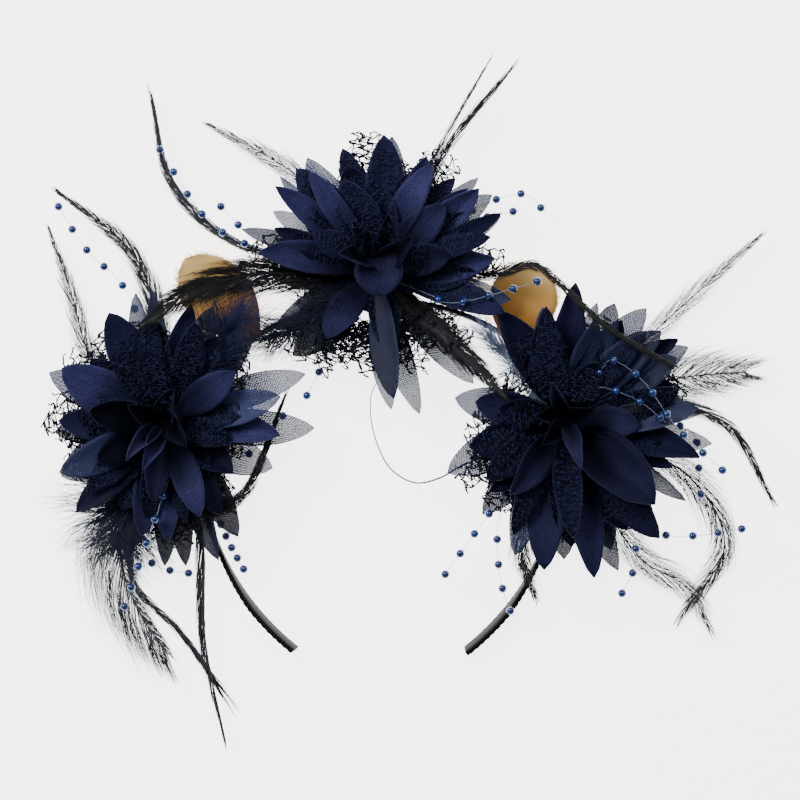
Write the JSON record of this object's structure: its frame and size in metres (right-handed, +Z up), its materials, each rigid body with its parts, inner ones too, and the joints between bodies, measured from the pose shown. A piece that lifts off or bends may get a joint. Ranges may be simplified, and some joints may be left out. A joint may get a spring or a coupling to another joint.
{
  "type": "floral headband",
  "caption": "Thin ribbon-wound headband with layered cloth flowers, organza and lace petals, feathers, down and strings of small beads, lying flat.",
  "frame": {"origin": "middle of the band's crown, on the edge face that it rests on", "axes": "+X towards the wearer's right-hand flower as pictured, +Y out of the crown away from the head, +Z up out of the face of the flowers"},
  "size_m": [0.2714, 0.2554, 0.0475],
  "materials": {
    "ribbon": "black satin ribbon with fine ribs",
    "felt": "plain navy felt",
    "organza": "sheer grey-navy organza",
    "lace": "navy net lace",
    "satin": "navy satin with heat-cut edges",
    "feather": "black and charcoal hackle",
    "down": "blue-black down",
    "tan_feather": "natural tan feather, brown at the root",
    "beads": "glossy blue beads on a clear thread"
  },
  "bodies": {
    "root": {"band": "ribbon", "left_pad": "felt", "top_pad": "felt", "right_pad": "felt", "left_organza_petals": "organza", "top_organza_petals": "organza", "right_organza_petals": "organza", "left_lace_petals": "lace", "top_lace_petals": "lace", "right_lace_petals": "lace", "left_outer_petals": "satin", "top_outer_petals": "satin", "right_outer_petals": "satin", "left_middle_petals": "satin", "top_middle_petals": "satin", "right_middle_petals": "satin", "left_inner_petals": "satin", "top_inner_petals": "satin", "right_inner_petals": "satin", "left_feather_long": "feather", "left_feather_thin": "feather", "left_plume": "feather", "left_feather_strands": "feather", "left_feather_hanging": "feather", "left_feather_front": "feather", "left_down": "down", "top_feather_curved": "feather", "top_feather_wispy": "feather", "top_feather_fine": "feather", "top_feather_upright": "feather", "top_feather_left": "feather", "top_feather_arched": "feather", "top_feather_dark": "feather", "top_down": "down", "right_feather_high": "feather", "right_feather_fan": "feather", "right_feather_front": "feather", "right_feather_hook": "feather", "right_feather_low": "feather", "right_feather_short": "feather", "right_down": "down", "left_tan_feather": "tan_feather", "right_tan_feather": "tan_feather", "left_beads_top": "beads", "left_beads_front": "beads", "left_beads_low": "beads", "left_beads_arm": "beads", "left_beads_side": "beads", "top_beads_left": "beads", "top_beads_right": "beads", "top_beads_front": "beads", "top_beads_low": "beads", "right_beads_top": "beads", "right_beads_side": "beads", "right_beads_low": "beads", "right_beads_arm": "beads"}
  },
  "joints": []
}
